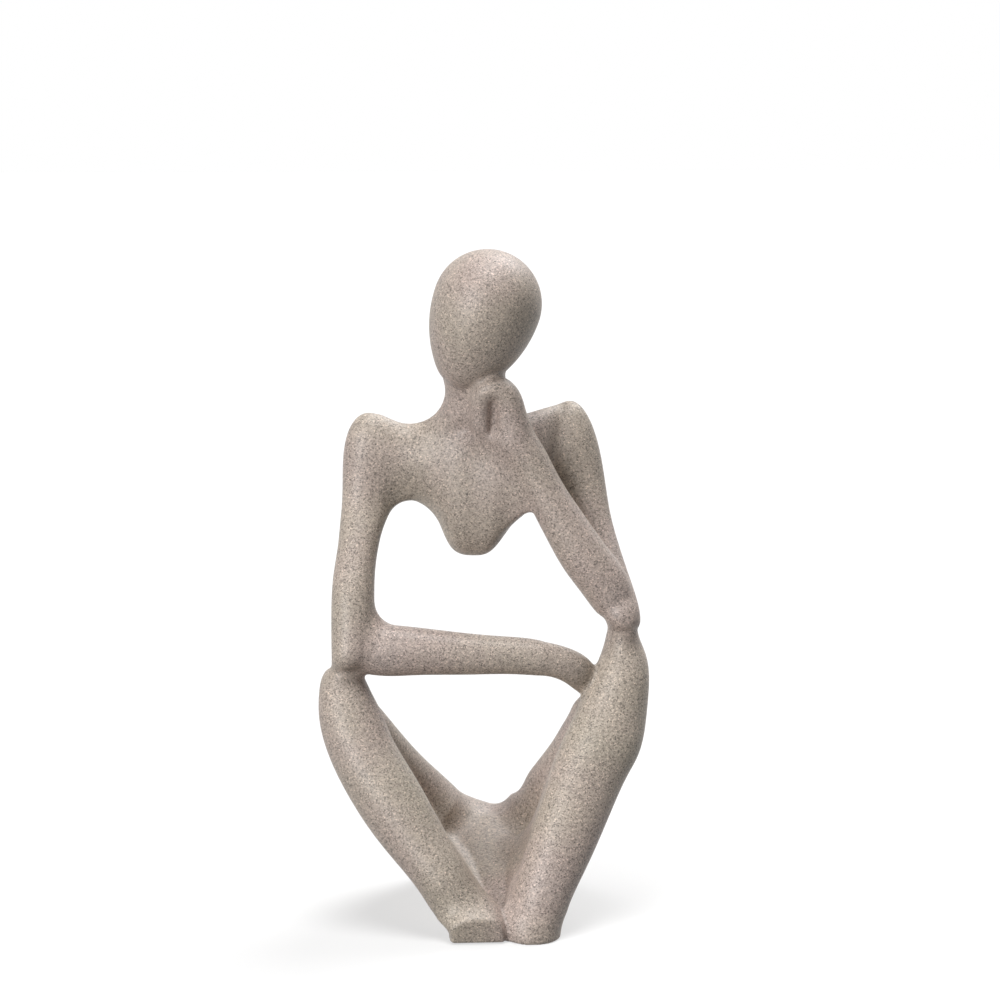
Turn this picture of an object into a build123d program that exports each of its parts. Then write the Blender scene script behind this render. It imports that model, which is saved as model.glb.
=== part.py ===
from build123d import *
from math import asin, cos, degrees, hypot, radians, sin
import os

os.makedirs("parts", exist_ok=True)

# A seated, thoughtful figure, cast in sections that are pinned and glued together on the bench.
# It faces -Y and stands on z = 0. Right and left are the figure's own, so its right is at -X.
# Lengths are in millimetres. Out is to the side, forward and back are along Y, height is above the table.

# Feet, side by side on the table
foot_forward = 22.4
right_foot_out = 3.2
left_foot_out = 7.3
foot_breadth = 10.8
foot_length = 12.6
toe_reach = 4.5
toe_undercut_angle = 15.0

# Knees and shins. The left knee is the higher one.
knee_forward = 8.5
right_knee_out = 26.6
left_knee_out = 25.1
knee_height = 43.0
left_knee_lift = 3.4
shin_breadth = 12.8
shin_thickness = 11.8

# Waists, the necks of material where each elbow stands on its knee: their rise above it, and how far
# they lie beside it
right_waist_rise = 4.7
right_waist_inward = 0.7
left_waist_rise = 8.2
left_waist_outward = 0.2
waist_back = 0.5
waist_breadth = 5.5
waist_thickness = 6.4

# Elbows, above and inside the waists, and upper arms, which rise from them to the level shoulders
right_elbow_rise = 7.3
right_elbow_inward = 1.4
left_elbow_rise = 5.4
left_elbow_inward = 0.8
upper_arm_rise = 27.5
upper_arm_breadth = 7.8
upper_arm_thickness = 8.2

# Shoulders and chest
shoulder_back = 4.5
right_shoulder_out = 19.0
left_shoulder_out = 15.8
chest_height = 27.0
chest_thickness = 12.4

# Right forearm, level across the lap, and its hand against the left knee
right_forearm_drop = 3.9
right_forearm_breadth = 9.3
right_forearm_thickness = 8.2
right_wrist_inward = 14.9
right_wrist_ahead = 3.0
right_wrist_rise = 3.2
right_hand_breadth = 6.1
right_hand_thickness = 5.8
fingertips_inward = 4.7
fingertips_back = 1.7
fingertips_drop = 3.2

# Left forearm, up the chest, and its fist, whose top reaches a little higher than the chin
left_forearm_drop = 2.0
left_forearm_breadth = 8.8
left_forearm_thickness = 8.2
fist_out = 1.6
fist_forward = 7.4
fist_overlap = 1.1
fist_breadth = 6.6
fist_thickness = 7.0
left_wrist_drop = 8.2
left_wrist_outward = 3.6
left_wrist_back = 0.8

# Neck and head. The neck stands in the chest and reaches up into the head, past the chin.
neck_out = 1.8
neck_foot_back = 1.8
neck_top_forward = 2.4
neck_foot_rise = 3.0
neck_length = 15.0
neck_seam_rise = 12.4
neck_overlap = 4.8
neck_breadth = 10.4
neck_thickness = 10.4
head_out = 0.5
head_forward = 2.8
head_breadth = 20.1
head_depth = 22.4
head_length = 26.5
chin_radius = 6.5
head_tilt_angle = 20.0
head_nod_angle = 8.0

# Thighs, the webs in the folds of the legs, and the seat. The hips lie a little higher than the middle of
# a seat that would just touch the table.
hip_back = 14.5
right_hip_out = 7.5
left_hip_out = 10.5
hip_rise = 3.9
left_hip_lift = 0.8
thigh_breadth = 11.6
thigh_thickness = 13.0
seat_breadth = 18.2
seat_thickness = 20.0
right_web_thickness = 8.4
left_web_thickness = 10.0
right_web_seat_out = 3.0
left_web_seat_out = 7.0

# Lap, the filled hollow between the shins, from the feet back to the seat
lap_out = 1.6
lap_ahead = 0.5
lap_rise = 3.0
lap_breadth = 16.0

# Steel pins across the seams, and the room for glue round them
neck_pin_diameter = 2.4
neck_pin_length = 11.0
shoulder_pin_diameter = 2.0
shoulder_pin_length = 9.0
elbow_pin_diameter = 1.5
elbow_pin_length = 7.0
wrist_pin_diameter = 1.2
wrist_pin_length = 5.0
waist_pin_diameter = 1.6
waist_pin_length = 6.0
knee_pin_diameter = 1.8
knee_pin_length = 8.0
hip_pin_diameter = 2.8
hip_pin_length = 12.0
ankle_pin_diameter = 2.2
ankle_pin_length = 8.0
pin_clearance = 0.05

# Where the elbow and knee pins sit, as shares of the forearms and of the thighs
right_elbow_pin_share = 0.11
left_elbow_pin_share = 0.21
knee_pin_share = 0.16

# How far a cutting block reaches past what it cuts
overrun = 80.0

# Landmarks of the pose, each placed from the one that carries it
right_foot = Vector(-right_foot_out, -foot_forward, 0)
left_foot = Vector(left_foot_out, -foot_forward, 0)
right_knee = Vector(-right_knee_out, -knee_forward, knee_height)
left_knee = Vector(left_knee_out, -knee_forward, knee_height + left_knee_lift)
right_waist = right_knee + Vector(right_waist_inward, waist_back, right_waist_rise)
left_waist = left_knee + Vector(left_waist_outward, waist_back, left_waist_rise)
right_elbow = right_waist + Vector(right_elbow_inward, 0, right_elbow_rise)
left_elbow = left_waist + Vector(-left_elbow_inward, 0, left_elbow_rise)
right_forearm_root = right_elbow - Vector(0, 0, right_forearm_drop)
left_forearm_root = left_elbow - Vector(0, 0, left_forearm_drop)
shoulder_height = (right_elbow.Z + left_elbow.Z) / 2 + upper_arm_rise
right_shoulder = Vector(-right_shoulder_out, shoulder_back, shoulder_height)
left_shoulder = Vector(left_shoulder_out, shoulder_back, shoulder_height)
right_wrist = left_knee + Vector(-right_wrist_inward, -right_wrist_ahead, right_wrist_rise)
fingertips = left_knee + Vector(-fingertips_inward, fingertips_back, -fingertips_drop)
neck_foot_height = shoulder_height + neck_foot_rise
neck_top_height = neck_foot_height + neck_length
neck_foot = Vector(-neck_out, neck_foot_back, neck_foot_height)
neck_top = Vector(-neck_out, -neck_top_forward, neck_top_height)
chin_height = neck_top_height - neck_overlap
head_centre = Vector(-head_out, -head_forward, chin_height + head_length / 2)
fist_top = Vector(fist_out, -fist_forward, chin_height + fist_overlap)
left_wrist = fist_top + Vector(left_wrist_outward, left_wrist_back, -left_wrist_drop)
hip_height = seat_breadth / 2 + hip_rise
right_hip = Vector(-right_hip_out, hip_back, hip_height)
left_hip = Vector(left_hip_out, hip_back, hip_height + left_hip_lift)
lap_peak = Vector(lap_out, hip_back - lap_ahead, hip_height + lap_rise)

# Tables of the ovals along each limb. A row holds the place along the limb, the bow outward and the
# bow back, as shares of the limb's length in the front view, then the breadth and the thickness as
# shares of the limb's own, and last the heading in degrees above +X.
# The outer frame is one chain of ovals, from the right foot up over the shoulders to the left foot.
right_foot_shares = [
    (0.00, -0.008, -0.030, 0.93, 1.42, 90),
    (0.05, -0.030, -0.032, 0.99, 1.30, 97),
    (0.09, -0.026, -0.022, 1.04, 1.00, 102),
]
right_shin_shares = [
    (0.123, -0.020, -0.010, 0.83, 0.94, 106),
    (0.24, -0.005, -0.018, 0.78, 0.94, 118),
    (0.38, 0.013, -0.020, 0.83, 0.96, 123),
    (0.53, 0.028, -0.015, 0.94, 1.00, 124),
    (0.67, 0.037, -0.010, 0.96, 1.02, 118),
    (0.79, 0.037, 0.000, 0.94, 1.00, 110),
    (0.91, 0.017, 0.005, 0.90, 0.94, 100),
    (1.00, -0.008, 0.010, 0.74, 0.82, 94),
    (1.06, -0.036, 0.012, 0.57, 0.68, 91),
]
right_arm_shares = [
    (-0.13, 0.000, 0.000, 0.88, 0.92, 90),
    (0.00, 0.008, -0.010, 1.00, 1.00, 88),
    (0.20, 0.037, -0.033, 1.02, 1.00, 80),
    (0.35, 0.050, -0.013, 0.97, 0.97, 86),
    (0.50, 0.050, 0.010, 0.97, 0.97, 84),
    (0.65, 0.043, 0.045, 1.10, 1.02, 78),
    (0.78, 0.040, 0.060, 1.35, 1.08, 63),
    (0.93, 0.037, 0.020, 1.92, 1.14, 41),
    (1.00, 0.000, 0.000, 2.26, 1.17, 30),
]
chest_shares = [
    (0.066, 0.014, 0.000, 0.63, 0.78, 22),
    (0.155, -0.016, -0.014, 0.555, 0.79, 13),
    (0.24, -0.038, -0.032, 0.590, 0.84, 7),
    (0.31, -0.070, -0.052, 0.79, 0.91, 3),
    (0.39, -0.116, -0.082, 0.96, 0.98, 0),
    (0.49, -0.130, -0.100, 0.99, 1.00, 0),
    (0.60, -0.110, -0.126, 0.94, 1.06, 0),
    (0.69, -0.060, -0.118, 0.77, 1.06, 0),
    (0.785, -0.015, -0.084, 0.68, 0.98, -1),
    (0.855, 0.010, -0.044, 0.67, 0.87, -5),
]
left_arm_shares = [
    (-0.06, -0.088, 0.000, 2.46, 1.17, -12),
    (0.00, 0.000, 0.000, 2.40, 1.17, -22),
    (0.11, 0.020, 0.040, 2.00, 1.14, -32),
    (0.27, 0.015, 0.090, 1.60, 1.10, -42),
    (0.45, 0.000, 0.095, 1.17, 1.03, -59),
    (0.65, -0.015, 0.070, 1.06, 0.98, -67),
    (0.825, -0.010, 0.035, 0.96, 0.96, -76),
    (1.00, -0.010, 0.000, 0.92, 0.94, -82),
    (1.10, -0.016, 0.005, 0.88, 0.90, -87),
]
left_shin_shares = [
    (-0.08, -0.022, 0.000, 0.60, 0.70, -90),
    (0.00, 0.000, 0.000, 0.80, 0.86, -94),
    (0.088, 0.012, 0.008, 0.93, 0.95, -102),
    (0.20, 0.022, 0.000, 1.06, 1.00, -114),
    (0.305, 0.012, 0.000, 1.08, 1.02, -119),
    (0.42, 0.000, -0.005, 1.05, 1.02, -119),
    (0.54, -0.005, -0.015, 1.00, 1.00, -118),
    (0.65, -0.009, -0.020, 0.94, 0.98, -116),
    (0.77, -0.015, -0.020, 0.87, 0.96, -112),
]
left_foot_shares = [
    (0.88, -0.014, -0.012, 0.98, 0.93, -104),
    (0.95, -0.020, -0.010, 1.05, 0.96, -97),
    (1.00, 0.000, 0.000, 0.98, 0.98, -90),
]
# The forearms and hands, from the elbow outward
right_forearm_shares = [
    (0.00, 0.000, 0.000, 0.80, 0.86, -4),
    (0.13, 0.000, 0.000, 1.05, 1.00, -3),
    (0.29, 0.008, -0.006, 0.98, 0.97, -3),
    (0.50, 0.009, -0.010, 0.87, 0.90, -3),
    (0.71, 0.009, -0.006, 0.78, 0.83, -3),
    (0.87, 0.010, -0.002, 0.74, 0.78, -5),
    (1.00, 0.000, 0.000, 0.68, 0.72, -9),
]
right_hand_shares = [
    (0.32, 0.098, -0.080, 1.00, 1.00, -23),
    (0.59, 0.099, -0.100, 1.00, 0.98, -36),
    (0.82, 0.030, -0.030, 0.88, 0.92, -42),
    (1.00, 0.000, 0.000, 0.72, 0.80, -45),
]
left_forearm_shares = [
    (0.00, 0.000, 0.000, 0.75, 0.86, 112),
    (0.07, 0.000, -0.010, 0.93, 0.94, 110),
    (0.195, 0.000, -0.014, 1.05, 1.02, 110),
    (0.33, 0.012, -0.016, 1.03, 1.00, 111),
    (0.45, 0.016, -0.012, 0.96, 0.95, 113),
    (0.58, 0.018, -0.004, 0.88, 0.90, 116),
    (0.73, 0.012, 0.004, 0.80, 0.87, 116),
    (0.87, 0.006, 0.006, 0.82, 0.88, 110),
    (1.00, 0.000, 0.000, 0.80, 0.88, 106),
]
fist_shares = [
    (0.22, -0.060, 0.000, 0.93, 1.00, 103),
    (0.45, -0.113, 0.000, 0.84, 1.00, 100),
    (0.81, -0.134, 0.000, 0.77, 0.98, 125),
    (1.01, 0.020, 0.000, 0.74, 0.92, 175),
    (1.01, 0.250, 0.020, 0.66, 0.86, 222),
    (0.80, 0.385, 0.060, 0.60, 0.82, 262),
    (0.58, 0.480, 0.120, 0.60, 0.78, 272),
    (0.36, 0.555, 0.190, 0.59, 0.76, 276),
    (0.13, 0.560, 0.300, 0.55, 0.72, 283),
    (-0.10, 0.530, 0.420, 0.50, 0.66, 283),
]
# The neck, from inside the chest to inside the head
neck_shares = [
    (0.00, 0.000, 0.000, 1.85, 0.72, 90),
    (0.20, 0.000, 0.000, 1.56, 0.84, 90),
    (0.33, 0.000, 0.000, 1.28, 0.92, 90),
    (0.43, 0.000, 0.000, 1.07, 0.97, 90),
    (0.53, 0.000, 0.000, 0.95, 0.96, 90),
    (0.70, 0.000, 0.000, 0.98, 0.96, 90),
    (1.00, 0.000, 0.000, 0.86, 0.80, 90),
]
# The lower frame, another chain, from the right knee through the seat to the left knee
right_thigh_shares = [
    (0.06, -0.030, 0.030, 0.70, 0.70, -62),
    (0.227, -0.051, 0.093, 0.95, 0.94, -58),
    (0.487, -0.050, 0.065, 1.03, 1.00, -51),
    (0.764, -0.034, 0.080, 1.12, 1.10, -47),
    (0.970, -0.016, 0.020, 1.25, 1.30, -40),
]
seat_shares = [
    (0.155, -0.200, 0.140, 0.91, 0.92, -25),
    (0.55, -0.385, 0.167, 1.00, 1.00, 0),
    (0.78, -0.265, 0.120, 0.80, 0.92, 20),
]
left_thigh_shares = [
    (0.00, 0.000, 0.000, 1.03, 1.22, 45),
    (0.118, -0.024, 0.000, 0.95, 1.10, 57),
    (0.355, -0.031, 0.033, 0.99, 1.00, 63),
    (0.574, -0.034, 0.034, 0.95, 0.96, 65),
    (0.804, -0.033, 0.030, 0.82, 0.85, 68),
    (0.95, 0.000, 0.000, 0.65, 0.66, 72),
]
# The webs: height as a share of the peak's, and thickness as a share of the web's own
web_shares = [
    (0.00, 1.00),
    (0.30, 1.00),
    (0.60, 1.00),
    (0.80, 0.92),
    (0.93, 0.75),
]


def ellipse(section, breadth, thickness):
    """An ellipse in four quarters, so that the ellipses of a loft pair up without a twist."""
    quarters = (0, 90, 180, 270)
    arcs = [Edge.make_ellipse(breadth / 2, thickness / 2, section, turn, turn + 90) for turn in quarters]
    return Wire(arcs)


def oval(place, breadth, thickness, heading):
    """An oval section, square to the heading. Its breadth lies in the front view and its thickness
    runs front to back."""
    onward = Vector(cos(radians(heading)), 0, sin(radians(heading)))
    return ellipse(Plane(origin=place, x_dir=Vector(0, 1, 0).cross(onward), z_dir=onward), breadth, thickness)


def ovals(start, end, breadth, thickness, shares):
    """The ovals of one limb, from its table of shares."""
    reach = end - start
    length = hypot(reach.X, reach.Z)
    outward = Vector(-reach.Z, 0, reach.X) / length
    backward = Vector(0, 1, 0)
    chain = []
    for along, bow, back, wide, thick, heading in shares:
        place = start + reach * along + outward * (bow * length) + backward * (back * length)
        chain.append(oval(place, breadth * wide, thickness * thick, heading))
    return chain


def egg():
    """The head: half an egg of three tangent arcs turned about its axis, then deepened and tilted."""
    crown_radius = head_breadth / 2
    drop = head_length - crown_radius - chin_radius
    side_radius = (crown_radius**2 + drop**2 - chin_radius**2) / (2 * (crown_radius - chin_radius))
    side_angle = degrees(asin(drop / (side_radius - chin_radius)))
    crown = JernArc((0, head_length / 2), (1, 0), crown_radius, -90)
    side = JernArc(crown @ 1, crown % 1, side_radius, -side_angle)
    chin = JernArc(side @ 1, side % 1, chin_radius, side_angle - 90)
    axis = Line(chin @ 1, crown @ 0)
    half = Plane.XZ * make_face(crown + side + chin + axis)
    turned = scale(revolve(half, Axis.Z), (1, head_depth / head_breadth, 1))
    return Location(head_centre, (-head_nod_angle, head_tilt_angle, 0)) * turned


def web(front_foot, rear_foot, peak, thickness):
    """A web that fills a fold: level ovals, from one that lies on the table between its front and its
    rear foot to a small one under its peak."""
    levels = []
    for rise, thick in web_shares:
        front = front_foot + (peak - front_foot) * rise
        rear = rear_foot + (peak - rear_foot) * rise
        level = Plane(origin=(front + rear) / 2, x_dir=rear - front, z_dir=Vector(0, 0, 1))
        levels.append(ellipse(level, (rear - front).length, thickness * thick))
    return Solid.make_loft(levels)


def pin(place, along, diameter, length):
    """A steel pin centred on a seam and lying along the given direction, and the hole that takes it."""
    seat = Plane(origin=place - along.normalized() * (length / 2), z_dir=along)
    to_end = (Align.CENTER, Align.CENTER, Align.MIN)
    steel = seat * Cylinder(diameter / 2, length, align=to_end)
    hole = seat * Cylinder(diameter / 2 + pin_clearance, length, align=to_end)
    return steel, hole


def seam_pin(section, diameter, length):
    """A pin square to a seam's oval, through its middle."""
    face = Face(section)
    return pin(face.center(), face.normal_at(), diameter, length)


def limb_pin(start, end, share, diameter, length):
    """A pin along a limb, at the given share of it."""
    return pin(start + (end - start) * share, end - start, diameter, length)


# Chains of ovals. Neighbouring castings share the oval at their seam, so they meet face to face.
right_foot_ovals = ovals(right_foot, right_knee, foot_breadth, foot_length, right_foot_shares)
right_shin_ovals = ovals(right_foot, right_knee, shin_breadth, shin_thickness, right_shin_shares)
right_waist_oval = oval(right_waist, waist_breadth, waist_thickness, 90)
right_arm_ovals = ovals(right_elbow, right_shoulder, upper_arm_breadth, upper_arm_thickness, right_arm_shares)
chest_ovals = ovals(right_shoulder, left_shoulder, chest_height, chest_thickness, chest_shares)
left_arm_ovals = ovals(left_shoulder, left_elbow, upper_arm_breadth, upper_arm_thickness, left_arm_shares)
left_waist_oval = oval(left_waist, waist_breadth, waist_thickness, -90)
left_shin_ovals = ovals(left_knee, left_foot, shin_breadth, shin_thickness, left_shin_shares)
left_foot_ovals = ovals(left_knee, left_foot, foot_breadth, foot_length, left_foot_shares)
right_thigh_ovals = ovals(right_knee, right_hip, thigh_breadth, thigh_thickness, right_thigh_shares)
seat_ovals = ovals(right_hip, left_hip, seat_breadth, seat_thickness, seat_shares)
left_thigh_ovals = ovals(left_hip, left_knee, thigh_breadth, thigh_thickness, left_thigh_shares)
right_forearm_ovals = ovals(
    right_forearm_root, right_wrist, right_forearm_breadth, right_forearm_thickness, right_forearm_shares
)
right_hand_ovals = ovals(right_wrist, fingertips, right_hand_breadth, right_hand_thickness, right_hand_shares)
left_forearm_ovals = ovals(
    left_forearm_root, left_wrist, left_forearm_breadth, left_forearm_thickness, left_forearm_shares
)
fist_ovals = ovals(left_wrist, fist_top, fist_breadth, fist_thickness, fist_shares)
neck_ovals = ovals(neck_foot, neck_top, neck_breadth, neck_thickness, neck_shares)

# Forms, before they are cut to seat on each other
right_foot_form = Solid.make_loft(right_foot_ovals + right_shin_ovals[:1])
right_shin_form = Solid.make_loft(right_shin_ovals + [right_waist_oval])
right_arm_form = Solid.make_loft([right_waist_oval] + right_arm_ovals + chest_ovals[:1])
chest_form = Solid.make_loft(chest_ovals + left_arm_ovals[:1])
left_arm_form = Solid.make_loft(left_arm_ovals + [left_waist_oval])
left_shin_form = Solid.make_loft([left_waist_oval] + left_shin_ovals + left_foot_ovals[:1])
left_foot_form = Solid.make_loft(left_foot_ovals)
right_thigh_form = Solid.make_loft(right_thigh_ovals)
seat_form = Solid.make_loft(right_thigh_ovals[-1:] + seat_ovals + left_thigh_ovals[:1])
left_thigh_form = Solid.make_loft(left_thigh_ovals)
right_forearm_form = Solid.make_loft(right_forearm_ovals)
right_hand_form = Solid.make_loft(right_forearm_ovals[-1:] + right_hand_ovals)
left_forearm_form = Solid.make_loft(left_forearm_ovals)
left_hand_form = Solid.make_loft(left_forearm_ovals[-1:] + fist_ovals)
neck_form = Solid.make_loft(neck_ovals)
head_form = egg()


# Webs in the folds of the legs, and the lap between them
right_web = web(right_foot, Vector(-right_web_seat_out, hip_back, 0), right_knee, right_web_thickness)
left_web = web(left_foot, Vector(left_web_seat_out, hip_back, 0), left_knee, left_web_thickness)
lap_foot = (right_foot + left_foot) / 2
lap = web(lap_foot, Vector(lap_out, hip_back, 0), lap_peak, lap_breadth)
lap_panel = lap - right_thigh_form - left_thigh_form - right_web - left_web

# Cutting blocks: the table under the figure, and the space in front of the right foot's toes
below_table = Box(overrun, overrun, overrun, align=(Align.CENTER, Align.CENTER, Align.MAX))
toe_edge = Location((-right_foot_out, -foot_forward - toe_reach, 0), (toe_undercut_angle, 0, 0))
before_toes = toe_edge * Box(overrun, overrun, overrun, align=(Align.CENTER, Align.MAX, Align.CENTER))

# Castings, each cut where it seats on another
right_leg = right_shin_form + right_foot_form
left_leg = left_shin_form + left_foot_form
right_fold = right_thigh_form + (right_web - seat_form)
left_fold = left_thigh_form + (left_web - seat_form)
castings = {
    "head": head_form,
    "torso": chest_form + neck_form - head_form,
    "right_upper_arm": right_arm_form,
    "left_upper_arm": left_arm_form,
    "right_forearm": right_forearm_form - right_arm_form - right_shin_form,
    "left_forearm": left_forearm_form - left_arm_form - chest_form,
    "right_hand": right_hand_form - left_shin_form - left_thigh_form,
    "left_hand": left_hand_form - head_form - chest_form - neck_form,
    "seat": seat_form + lap_panel - right_leg - left_leg,
    "right_thigh": right_fold - right_leg,
    "left_thigh": left_fold - right_fold - left_leg,
    "right_shin": right_shin_form,
    "left_shin": left_shin_form,
    "right_foot": right_foot_form - before_toes,
    "left_foot": left_foot_form - right_foot_form,
}
for name in castings:
    castings[name] = castings[name] - below_table

# Pins, each across the seam of two castings
neck_seam_share = neck_seam_rise / neck_length
neck = (neck_pin_diameter, neck_pin_length)
shoulder = (shoulder_pin_diameter, shoulder_pin_length)
elbow = (elbow_pin_diameter, elbow_pin_length)
wrist = (wrist_pin_diameter, wrist_pin_length)
waist = (waist_pin_diameter, waist_pin_length)
knee = (knee_pin_diameter, knee_pin_length)
hip = (hip_pin_diameter, hip_pin_length)
ankle = (ankle_pin_diameter, ankle_pin_length)
right_elbow_pin = limb_pin(right_forearm_root, right_wrist, right_elbow_pin_share, *elbow)
left_elbow_pin = limb_pin(left_forearm_root, left_wrist, left_elbow_pin_share, *elbow)
pins = {
    "neck_pin": [
        ("torso", "head", limb_pin(neck_foot, neck_top, neck_seam_share, *neck)),
    ],
    "shoulder_pins": [
        ("right_upper_arm", "torso", seam_pin(chest_ovals[0], *shoulder)),
        ("left_upper_arm", "torso", seam_pin(left_arm_ovals[0], *shoulder)),
    ],
    "elbow_pins": [
        ("right_upper_arm", "right_forearm", right_elbow_pin),
        ("left_upper_arm", "left_forearm", left_elbow_pin),
    ],
    "wrist_pins": [
        ("right_forearm", "right_hand", seam_pin(right_forearm_ovals[-1], *wrist)),
        ("left_forearm", "left_hand", seam_pin(left_forearm_ovals[-1], *wrist)),
    ],
    "waist_pins": [
        ("right_upper_arm", "right_shin", seam_pin(right_waist_oval, *waist)),
        ("left_upper_arm", "left_shin", seam_pin(left_waist_oval, *waist)),
    ],
    "knee_pins": [
        ("right_shin", "right_thigh", limb_pin(right_knee, right_hip, knee_pin_share, *knee)),
        ("left_shin", "left_thigh", limb_pin(left_knee, left_hip, knee_pin_share, *knee)),
    ],
    "hip_pins": [
        ("seat", "right_thigh", seam_pin(right_thigh_ovals[-1], *hip)),
        ("seat", "left_thigh", seam_pin(left_thigh_ovals[0], *hip)),
    ],
    "ankle_pins": [
        ("right_foot", "right_shin", seam_pin(right_shin_ovals[0], *ankle)),
        ("left_foot", "left_shin", seam_pin(left_foot_ovals[0], *ankle)),
    ],
}
nodes = {}
for name, group in pins.items():
    for one, other, (steel, hole) in group:
        castings[one] = castings[one] - hole
        castings[other] = castings[other] - hole
    nodes[name] = Compound([steel.solid() for one, other, (steel, hole) in group])
nodes.update(castings)

# The figure is set with its middle over the origin, and each piece is written to its own file
extent = Compound(list(castings.values())).bounding_box()
centring = Location((-extent.center().X, -extent.center().Y, -extent.min.Z))
for name, node in nodes.items():
    export_step(centring * node, f"parts/{name}.step")
    print(name, len(node.solids()), round(node.volume, 1), node.is_valid)
print("overall", extent.size, "middle", extent.center())
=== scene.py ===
import math

import bmesh
import bpy
import numpy as np
import openvdb
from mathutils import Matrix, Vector
from mathutils.bvhtree import BVHTree


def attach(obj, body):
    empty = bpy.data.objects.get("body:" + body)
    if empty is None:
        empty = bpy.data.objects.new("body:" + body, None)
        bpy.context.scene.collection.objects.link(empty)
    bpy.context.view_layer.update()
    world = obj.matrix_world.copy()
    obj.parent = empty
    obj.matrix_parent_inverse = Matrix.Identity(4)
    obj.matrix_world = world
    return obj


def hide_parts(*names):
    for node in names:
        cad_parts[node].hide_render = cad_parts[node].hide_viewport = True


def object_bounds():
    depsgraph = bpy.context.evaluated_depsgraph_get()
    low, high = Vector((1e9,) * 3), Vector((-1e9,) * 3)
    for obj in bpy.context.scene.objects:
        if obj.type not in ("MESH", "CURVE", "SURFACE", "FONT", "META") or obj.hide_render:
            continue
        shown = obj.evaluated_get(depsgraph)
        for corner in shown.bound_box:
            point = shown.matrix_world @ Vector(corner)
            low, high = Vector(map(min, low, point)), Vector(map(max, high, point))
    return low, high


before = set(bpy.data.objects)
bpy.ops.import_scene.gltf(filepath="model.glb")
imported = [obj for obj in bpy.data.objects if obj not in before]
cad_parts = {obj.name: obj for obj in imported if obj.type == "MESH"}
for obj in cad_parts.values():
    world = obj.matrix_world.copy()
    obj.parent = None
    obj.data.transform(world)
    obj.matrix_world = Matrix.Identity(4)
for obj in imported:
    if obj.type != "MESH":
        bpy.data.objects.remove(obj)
cad_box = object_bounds()

MM = 0.001
VOXEL = 0.38
REACH = 2.4
LATTICE = openvdb.createLinearTransform(voxelSize=VOXEL)
CASTINGS = [
    "head", "torso", "right_upper_arm", "left_upper_arm", "right_forearm", "left_forearm",
    "right_hand", "left_hand", "seat", "right_thigh", "left_thigh", "right_shin", "left_shin",
    "right_foot", "left_foot",
]
PINS = [
    "neck_pin", "shoulder_pins", "elbow_pins", "wrist_pins", "waist_pins", "knee_pins", "hip_pins",
    "ankle_pins",
]

# The block of space round the figure, in voxels, and the places in it in millimetres
MARGIN = 4.0
low, high = np.array(cad_box) / MM
FIRST = np.floor((low - MARGIN) / VOXEL).astype(int)
SHAPE = np.ceil((high + MARGIN) / VOXEL).astype(int) - FIRST
X = ((np.arange(SHAPE[0]) + FIRST[0]) * VOXEL)[:, None, None]
Y = ((np.arange(SHAPE[1]) + FIRST[1]) * VOXEL)[None, :, None]
Z = ((np.arange(SHAPE[2]) + FIRST[2]) * VOXEL)[None, None, :]


# Surfaces as arrays, in millimetres
def cad_surface(name):
    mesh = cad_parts[name].data
    mesh.calc_loop_triangles()
    points = np.zeros(len(mesh.vertices) * 3)
    mesh.vertices.foreach_get("co", points)
    triangles = np.zeros(len(mesh.loop_triangles) * 3, np.int64)
    mesh.loop_triangles.foreach_get("vertices", triangles)
    return points.reshape(-1, 3) / MM, triangles.reshape(-1, 3)


def in_one(surfaces):
    points, faces, start = [], [], 0
    for p, f in surfaces:
        points.append(p)
        faces.append(f + start)
        start += len(p)
    return np.concatenate(points), np.concatenate(faces)


def distances(points, faces, reach):
    """The level set of a closed surface of triangles or of quads, out to the reach on both sides of it."""
    kind = "triangles" if faces.shape[1] == 3 else "quads"
    shape = {"points": points.astype(np.float32), kind: faces.astype(np.uint32)}
    width = reach / VOXEL + 2
    return openvdb.FloatGrid.createLevelSetFromPolygons(transform=LATTICE, halfWidth=width, **shape)


def shell(grid, offset):
    points, _, quads = grid.convertToPolygons(isovalue=offset)
    return points.astype(float), quads.astype(np.int64)


def coat(names, radius):
    """The castings under one coat: swollen by the radius and shrunk back by it, so that every groove and
    inner corner between them is rounded to it. As distances through the block, negative inside."""
    swollen = shell(distances(*in_one([cad[n] for n in names]), radius), radius)
    values = np.empty(SHAPE, np.float32)
    distances(*swollen, radius + REACH).copyToArray(values, ijk=FIRST.tolist())
    return np.clip(values + radius, -REACH, REACH)


def ramp(value, start, end):
    """Rises smoothly from 0 at the start to 1 at the end."""
    t = np.clip((value - start) / (end - start), 0, 1)
    return t * t * (3 - 2 * t)


def beside(ax, az, bx, bz):
    """In the front view, how far each place lies to the left of the way from a to b."""
    length = math.hypot(bx - ax, bz - az)
    return ((bx - ax) * (Z - az) - (bz - az) * (X - ax)) / length


# Landmarks in the front view
WRIST = (5.6, 91.1)
ELBOW = (24.9, 58.0)
CHEST_POINT = (-2.5, 66.5)
ARMPIT = (8.6, 76.0)
FIST_FOOT = 91.5
RIGHT_SOLE, RIGHT_KNEE = (-2.8, 0.0), (-26.2, 43.0)
LEFT_SOLE, LEFT_KNEE = (7.7, 0.0), (25.5, 46.4)

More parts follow.
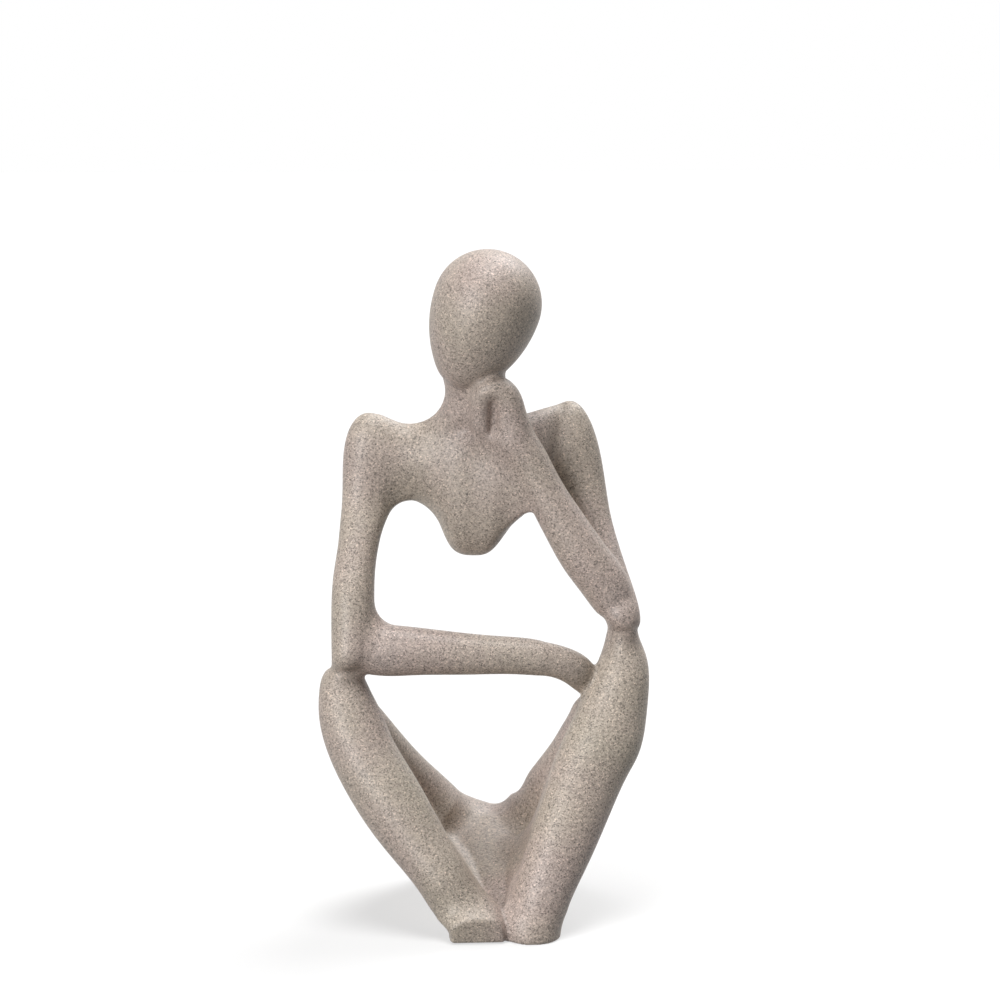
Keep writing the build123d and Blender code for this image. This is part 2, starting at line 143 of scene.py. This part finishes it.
cad = {name: cad_surface(name) for name in CASTINGS}
LEGS = ["seat", "right_thigh", "left_thigh", "right_shin", "left_shin"]
chest_side = ramp(-beside(*WRIST, *ELBOW), 0.0, 2.0) * ramp(beside(*CHEST_POINT, *ARMPIT), -0.5, 1.5)
below_fist = ramp(FIST_FOOT - Z, 0.0, 2.0)
right_outside = ramp(beside(*RIGHT_SOLE, *RIGHT_KNEE), -1.0, 1.5)
left_outside = ramp(-beside(*LEFT_SOLE, *LEFT_KNEE), -1.0, 1.5)
outer_side = np.maximum(right_outside, left_outside)
hollow = ramp(-Y, -8.0, -3.0) * ramp(-beside(*RIGHT_SOLE, *RIGHT_KNEE), 3.0, 15.0)

# The finish runs over the seams. Each row is a group of castings, the radius that the finish leaves between
# them, and where it does so
FILLETS = [
    (["torso", "left_forearm"], 7.0, chest_side),
    (["torso", "left_forearm", "left_hand"], 7.0, chest_side * below_fist),
    (["torso"], 5.0, ramp(-Y, 0.0, 2.5) * ramp(Z, 82.0, 86.0)),
    (["torso", "left_hand"], 1.6, ramp(-X, -0.2, 1.2)),
    (["torso", "right_upper_arm"], 4.5, 1.0),
    (["right_upper_arm", "right_forearm"], 4.0, ramp(Z, 45.5, 49.0)),
    (["seat", "right_thigh", "left_thigh", "left_shin"], 7.0, hollow),
    (["seat", "right_thigh", "left_thigh"], 3.0, 1.0),
    (LEGS, 3.5, outer_side),
]
stone = coat(CASTINGS, 0.35)
for names, radius, share in FILLETS:
    stone += np.minimum(coat(names, radius) - stone, 0) * share

block = openvdb.FloatGrid(REACH)
block.transform = LATTICE
block.copyFromArray(stone.astype(np.float32), ijk=FIRST.tolist())
points, faces = shell(block, 0.0)


# Smoothing that keeps the volume
def neighbours(faces, count):
    edges = np.concatenate([faces[:, [i, (i + 1) % 4]] for i in range(4)])
    edges = np.unique(np.sort(edges, 1), axis=0)
    a, b = edges[:, 0], edges[:, 1]
    degree = np.bincount(a, minlength=count) + np.bincount(b, minlength=count)
    return a, b, np.maximum(degree, 1)[:, None]


def relaxed(points, faces, rounds, weight):
    a, b, degree = neighbours(faces, len(points))
    for turn in range(rounds):
        for step in (0.5, -0.52):
            total = np.zeros_like(points)
            for axis in range(3):
                total[:, axis] += np.bincount(a, points[b, axis], len(points))
                total[:, axis] += np.bincount(b, points[a, axis], len(points))
            points = points + (total / degree - points) * step * weight
    return points


toes = np.clip((7.0 - points[:, 2]) / 2.0, 0, 1)[:, None]
points = relaxed(points, faces, 12, 1 - 0.8 * toes)

# Places in the front view where the outline wavers. Each row is a place, how wide the skin is eased round it,
# by how much it moves, and where it does so
behind_shins = ramp(points[:, 1], -6.0, -1.0)
EASES = [
    (12.6, 31.0, 4.5, 0.45, -0.33, behind_shins),
    (7.8, 23.6, 3.0, -0.65, 0.50, behind_shins),
    (17.8, 39.0, 2.5, -0.45, 0.33, behind_shins),
    (-21.6, 45.0, 4.0, -0.15, 0.45, 1.0),
]
for x, z, width, shift_x, shift_z, share in EASES:
    near = np.exp(-((points[:, 0] - x) ** 2 + (points[:, 2] - z) ** 2) / width**2) * share
    points[:, 0] += shift_x * near
    points[:, 2] += shift_z * near
points[:, 2] = np.maximum(points[:, 2], 0)
points[points[:, 2] < 0.06, 2] = 0

# Each patch of the skin belongs to the casting under it
cad_points, cad_triangles = in_one([cad[n] for n in CASTINGS])
owners = np.concatenate([np.full(len(cad[n][1]), i) for i, n in enumerate(CASTINGS)])
tree = BVHTree.FromPolygons(cad_points.tolist(), cad_triangles.tolist())
middles = points[faces].mean(1)
label = np.array([owners[tree.find_nearest(Vector(m))[2]] for m in middles])


def face_pairs(faces):
    sides = np.concatenate([faces[:, [i, (i + 1) % 4]] for i in range(4)])
    face = np.tile(np.arange(len(faces)), 4)
    sides = np.sort(sides, 1)
    order = np.lexsort((sides[:, 1], sides[:, 0]))
    sides, face = sides[order], face[order]
    same = (sides[1:] == sides[:-1]).all(1)
    return face[:-1][same], face[1:][same]


left, right = face_pairs(faces)
kinds = len(CASTINGS)
for turn in range(40):
    ballots = np.concatenate([left * kinds + label[right], right * kinds + label[left]])
    votes = np.bincount(ballots, minlength=len(faces) * kinds).reshape(-1, kinds) * 2
    votes[np.arange(len(faces)), label] += 1
    label = votes.argmax(1)


def islands(label):
    """The number of the patch that each face lies in: the lowest face number in it."""
    patch = np.arange(len(label))
    same = label[left] == label[right]
    a, b = left[same], right[same]
    while True:
        low = np.minimum(patch[a], patch[b])
        before = patch.copy()
        np.minimum.at(patch, a, low)
        np.minimum.at(patch, b, low)
        patch = patch[patch]
        if (patch == before).all():
            return patch


for turn in range(6):
    patch = islands(label)
    ids, sizes = np.unique(patch, return_counts=True)
    size_of = dict(zip(ids.tolist(), sizes.tolist()))
    biggest = {}
    for i in ids.tolist():
        k = label[i]
        if k not in biggest or size_of[i] > size_of[biggest[k]]:
            biggest[k] = i
    stray = ~np.isin(patch, list(biggest.values()))
    if not stray.any():
        break
    for a, b in ((left, right), (right, left)):
        edge = stray[a] & ~stray[b]
        label[a[edge]] = label[b[edge]]

# Normals of the whole skin, so that no seam shows in the shading
corner = points[faces]
face_normal = np.cross(corner[:, 2] - corner[:, 0], corner[:, 3] - corner[:, 1])
normal = np.zeros_like(points)
for i in range(4):
    np.add.at(normal, faces[:, i], face_normal)
normal /= np.maximum(np.linalg.norm(normal, axis=1, keepdims=True), 1e-12)


whole_skin = BVHTree.FromPolygons((points * MM).tolist(), faces.tolist())
CAP_DEPTH = 3.0 * MM
WALL = 0.6 * MM
# Seams of these run round the hollow and the window, where a cap would stand in the open air
WALLED = ["seat", "right_thigh", "left_thigh"]


def cap_seams(bm, rim):
    """Closes each open seam with a fan round a point well under the skin."""
    caps = bmesh.ops.holes_fill(bm, edges=rim, sides=0)["faces"]
    for middle in bmesh.ops.poke(bm, faces=caps)["verts"]:
        for turn in range(4):
            place, outward, _, _ = whole_skin.find_nearest(middle.co)
            if (place - middle.co).dot(outward) < CAP_DEPTH:
                middle.co = place - outward * CAP_DEPTH


def wall_seams(bm, rim, outward):
    """Makes the open piece a closed wall, with its inner side under the skin."""
    skin = list(bm.faces)
    under = {v: bm.verts.new(v.co - Vector(n) * WALL) for v, n in zip(list(bm.verts), outward)}
    sides = [(e.link_loops[0].vert, e.link_loops[0].link_loop_next.vert) for e in rim]
    for face in skin:
        bm.faces.new([under[v] for v in reversed(face.verts)])
    for a, b in sides:
        bm.faces.new([b, a, under[a], under[b]])


def skin_piece(index, name):
    own = faces[label == index]
    used, local = np.unique(own, return_inverse=True)
    local = local.reshape(-1, 4)
    bm = bmesh.new()
    verts = [bm.verts.new(points[v] * MM) for v in used]
    for f in local:
        bm.faces.new([verts[i] for i in f])
    bm.normal_update()
    rim = [e for e in bm.edges if len(e.link_faces) == 1]
    rim_length = len(rim)
    if name in WALLED:
        wall_seams(bm, rim, normal[used])
    else:
        cap_seams(bm, rim)
    bm.verts.index_update()
    bm.faces.ensure_lookup_table()
    bm.normal_update()
    outward = bm.faces[0].normal.copy()
    if name not in WALLED:
        bmesh.ops.recalc_face_normals(bm, faces=bm.faces)
        if bm.faces[0].normal.dot(outward) < 0:
            bmesh.ops.reverse_faces(bm, faces=bm.faces)
    mesh = bpy.data.meshes.new("skin_" + name)
    bm.to_mesh(mesh)
    bm.free()
    mesh.polygons.foreach_set("use_smooth", np.ones(len(mesh.polygons), bool))
    corners = np.zeros(len(mesh.loops), np.int64)
    mesh.loops.foreach_get("vertex_index", corners)
    given = normal[used][np.minimum(corners, len(used) - 1)]
    for p in mesh.polygons[len(own):]:
        given[p.loop_start:p.loop_start + p.loop_total] = p.normal
    mesh.normals_split_custom_set(given.tolist())
    piece = bpy.data.objects.new("skin_" + name, mesh)
    bpy.context.scene.collection.objects.link(piece)
    print("piece", name, len(own), "faces", rim_length, "rim edges", len(mesh.polygons) - len(own), "inside")
    return piece


def colour(r, g, b):
    return (r, g, b, 1.0)


def sandstone():
    material = bpy.data.materials.new("sandstone_speckle")
    material.use_nodes = True
    tree = material.node_tree
    nodes, links = tree.nodes, tree.links
    shader = nodes["Principled BSDF"]
    place = nodes.new("ShaderNodeTexCoord").outputs["Object"]

    def noise(scale, detail, roughness):
        node = nodes.new("ShaderNodeTexNoise")
        node.inputs["Scale"].default_value = scale
        node.inputs["Detail"].default_value = detail
        node.inputs["Roughness"].default_value = roughness
        links.new(place, node.inputs["Vector"])
        return node

    def ramp(value, *stops):
        node = nodes.new("ShaderNodeValToRGB")
        while len(node.color_ramp.elements) < len(stops):
            node.color_ramp.elements.new(0.5)
        for element, (position, tone) in zip(node.color_ramp.elements, stops):
            element.position = position
            element.color = tone
        links.new(value, node.inputs["Fac"])
        return node.outputs["Color"]

    def mixed(kind, share, first, second):
        node = nodes.new("ShaderNodeMix")
        node.data_type = "RGBA"
        node.blend_type = kind
        if isinstance(share, float):
            node.inputs["Factor"].default_value = share
        else:
            links.new(share, node.inputs["Factor"])
        links.new(first, node.inputs["A"])
        links.new(second, node.inputs["B"])
        return node.outputs["Result"]

    drift = noise(38.0, 2.0, 0.5)
    base = ramp(
        drift.outputs["Fac"],
        (0.30, colour(0.395, 0.345, 0.280)),
        (0.48, colour(0.410, 0.345, 0.290)),
        (0.60, colour(0.420, 0.340, 0.300)),
        (0.75, colour(0.405, 0.340, 0.310)),
    )

    def grains(scale, *stops):
        """A colour of its own for every grain, and the tones that the stops give them."""
        cells = nodes.new("ShaderNodeTexVoronoi")
        cells.inputs["Scale"].default_value = scale
        links.new(place, cells.inputs["Vector"])
        split = nodes.new("ShaderNodeSeparateColor")
        links.new(cells.outputs["Color"], split.inputs["Color"])
        return split, ramp(split.outputs["Red"], *((at, colour(tone, tone, tone)) for at, tone in stops))

    fine, fine_tones = grains(
        4800.0, (0.0, 0.30), (0.10, 0.58), (0.30, 0.90), (0.75, 1.10), (0.93, 1.38), (1.0, 1.75)
    )
    coarse, coarse_tones = grains(2700.0, (0.0, 0.62), (0.08, 0.85), (0.25, 1.0), (0.85, 1.0), (1.0, 1.2))
    tones = mixed("MULTIPLY", 1.0, fine_tones, coarse_tones)
    links.new(mixed("MULTIPLY", 1.0, base, tones), shader.inputs["Base Color"])
    shader.inputs["Coat Weight"].default_value = 0.35
    shader.inputs["Coat Roughness"].default_value = 0.42
    patchy = noise(900.0, 3.0, 0.6)
    rough = nodes.new("ShaderNodeMapRange")
    rough.inputs["To Min"].default_value = 0.46
    rough.inputs["To Max"].default_value = 0.68
    links.new(patchy.outputs["Fac"], rough.inputs["Value"])
    links.new(rough.outputs["Result"], shader.inputs["Roughness"])
    bump = nodes.new("ShaderNodeBump")
    bump.inputs["Strength"].default_value = 0.25
    bump.inputs["Distance"].default_value = 0.00008
    links.new(fine.outputs["Green"], bump.inputs["Height"])
    links.new(bump.outputs["Normal"], shader.inputs["Normal"])
    return material


def steel():
    material = bpy.data.materials.new("drawn_steel")
    material.use_nodes = True
    tree = material.node_tree
    nodes, links = tree.nodes, tree.links
    shader = nodes["Principled BSDF"]
    shader.inputs["Metallic"].default_value = 1.0
    place = nodes.new("ShaderNodeTexCoord").outputs["Object"]
    grain = nodes.new("ShaderNodeTexNoise")
    grain.inputs["Scale"].default_value = 1500.0
    links.new(place, grain.inputs["Vector"])
    tone = nodes.new("ShaderNodeValToRGB")
    tone.color_ramp.elements[0].color = colour(0.50, 0.50, 0.52)
    tone.color_ramp.elements[1].color = colour(0.66, 0.66, 0.68)
    links.new(grain.outputs["Fac"], tone.inputs["Fac"])
    links.new(tone.outputs["Color"], shader.inputs["Base Color"])
    rough = nodes.new("ShaderNodeMapRange")
    rough.inputs["To Min"].default_value = 0.28
    rough.inputs["To Max"].default_value = 0.42
    links.new(grain.outputs["Fac"], rough.inputs["Value"])
    links.new(rough.outputs["Result"], shader.inputs["Roughness"])
    return material


stone = sandstone()
for index, name in enumerate(CASTINGS):
    piece = skin_piece(index, name)
    piece.data.materials.append(stone)
    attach(piece, "root")
    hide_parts(name)
metal = steel()
for name in PINS:
    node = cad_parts[name]
    node.data.materials.clear()
    node.data.materials.append(metal)

# Floor
floor_mesh = bpy.data.meshes.new("floor")
floor_mesh.from_pydata([(-3, -3, 0), (3, -3, 0), (3, 3, 0), (-3, 3, 0)], [], [(0, 1, 2, 3)])
floor = bpy.data.objects.new("floor", floor_mesh)
bpy.context.scene.collection.objects.link(floor)
pale = bpy.data.materials.new("pale_floor")
pale.use_nodes = True
nodes, links = pale.node_tree.nodes, pale.node_tree.links
path = nodes.new("ShaderNodeLightPath")
seen = nodes.new("ShaderNodeMath")
seen.operation = "MAXIMUM"
links.new(path.outputs["Is Camera Ray"], seen.inputs[0])
links.new(path.outputs["Is Glossy Ray"], seen.inputs[1])
glow = nodes.new("ShaderNodeEmission")
glow.inputs["Color"].default_value = colour(1, 1, 1)
glow.inputs["Strength"].default_value = 0.58
matt = nodes.new("ShaderNodeBsdfDiffuse")
matt.inputs["Color"].default_value = colour(0.40, 0.40, 0.40)
both = nodes.new("ShaderNodeAddShader")
links.new(glow.outputs["Emission"], both.inputs[0])
links.new(matt.outputs["BSDF"], both.inputs[1])
dim = nodes.new("ShaderNodeBsdfDiffuse")
dim.inputs["Color"].default_value = colour(0.18, 0.175, 0.17)
choice = nodes.new("ShaderNodeMixShader")
links.new(seen.outputs["Value"], choice.inputs["Fac"])
links.new(dim.outputs["BSDF"], choice.inputs[1])
links.new(both.outputs["Shader"], choice.inputs[2])
links.new(choice.outputs["Shader"], nodes["Material Output"].inputs["Surface"])
floor_mesh.materials.append(pale)

# World: white where the camera sees it, dim elsewhere
world = bpy.data.worlds.new("studio")
bpy.context.scene.world = world
world.use_nodes = True
nodes, links = world.node_tree.nodes, world.node_tree.links
path = nodes.new("ShaderNodeLightPath")
seen = nodes.new("ShaderNodeMath")
seen.operation = "MAXIMUM"
links.new(path.outputs["Is Camera Ray"], seen.inputs[0])
links.new(path.outputs["Is Glossy Ray"], seen.inputs[1])
strength = nodes.new("ShaderNodeMapRange")
strength.inputs["To Min"].default_value = 0.02
strength.inputs["To Max"].default_value = 1.0
links.new(seen.outputs["Value"], strength.inputs["Value"])
links.new(strength.outputs["Result"], nodes["Background"].inputs["Strength"])
nodes["Background"].inputs["Color"].default_value = colour(1, 1, 1)


def lamp(name, azimuth, elevation, spread, power):
    """Soft parallel light from a wide patch of sky. Azimuth is counted from the front, to the right."""
    light = bpy.data.lights.new(name, "SUN")
    light.angle = math.radians(spread)
    light.energy = power
    holder = bpy.data.objects.new(name, light)
    bpy.context.scene.collection.objects.link(holder)
    a, e = math.radians(azimuth), math.radians(elevation)
    away = Vector((math.sin(a) * math.cos(e), -math.cos(a) * math.cos(e), math.sin(e)))
    holder.rotation_mode = "QUATERNION"
    holder.rotation_quaternion = away.to_track_quat("Z", "Y")


lamp("key", -42, 18, 35, 2.35)
lamp("top", 0, 80, 30, 1.9)
lamp("back", 140, 50, 40, 2.0)

# Camera
AZIMUTH, ELEVATION = math.radians(-4.0), math.radians(8.0)
TARGET = Vector((3.53, 0.47, 77.6)) * MM
BACK = Vector((
    math.sin(AZIMUTH) * math.cos(ELEVATION),
    -math.cos(AZIMUTH) * math.cos(ELEVATION),
    math.sin(ELEVATION),
))
camera_data = bpy.data.cameras.new("camera")
camera_data.lens = 125.7
camera_data.sensor_width = 36.0
camera_data.clip_start = 0.01
camera_data.clip_end = 20.0
camera = bpy.data.objects.new("camera", camera_data)
bpy.context.scene.collection.objects.link(camera)
camera.location = TARGET + BACK * 0.65
camera.rotation_mode = "QUATERNION"
camera.rotation_quaternion = BACK.to_track_quat("Z", "Y")
bpy.context.scene.camera = camera
bpy.context.scene.view_settings.view_transform = "Standard"
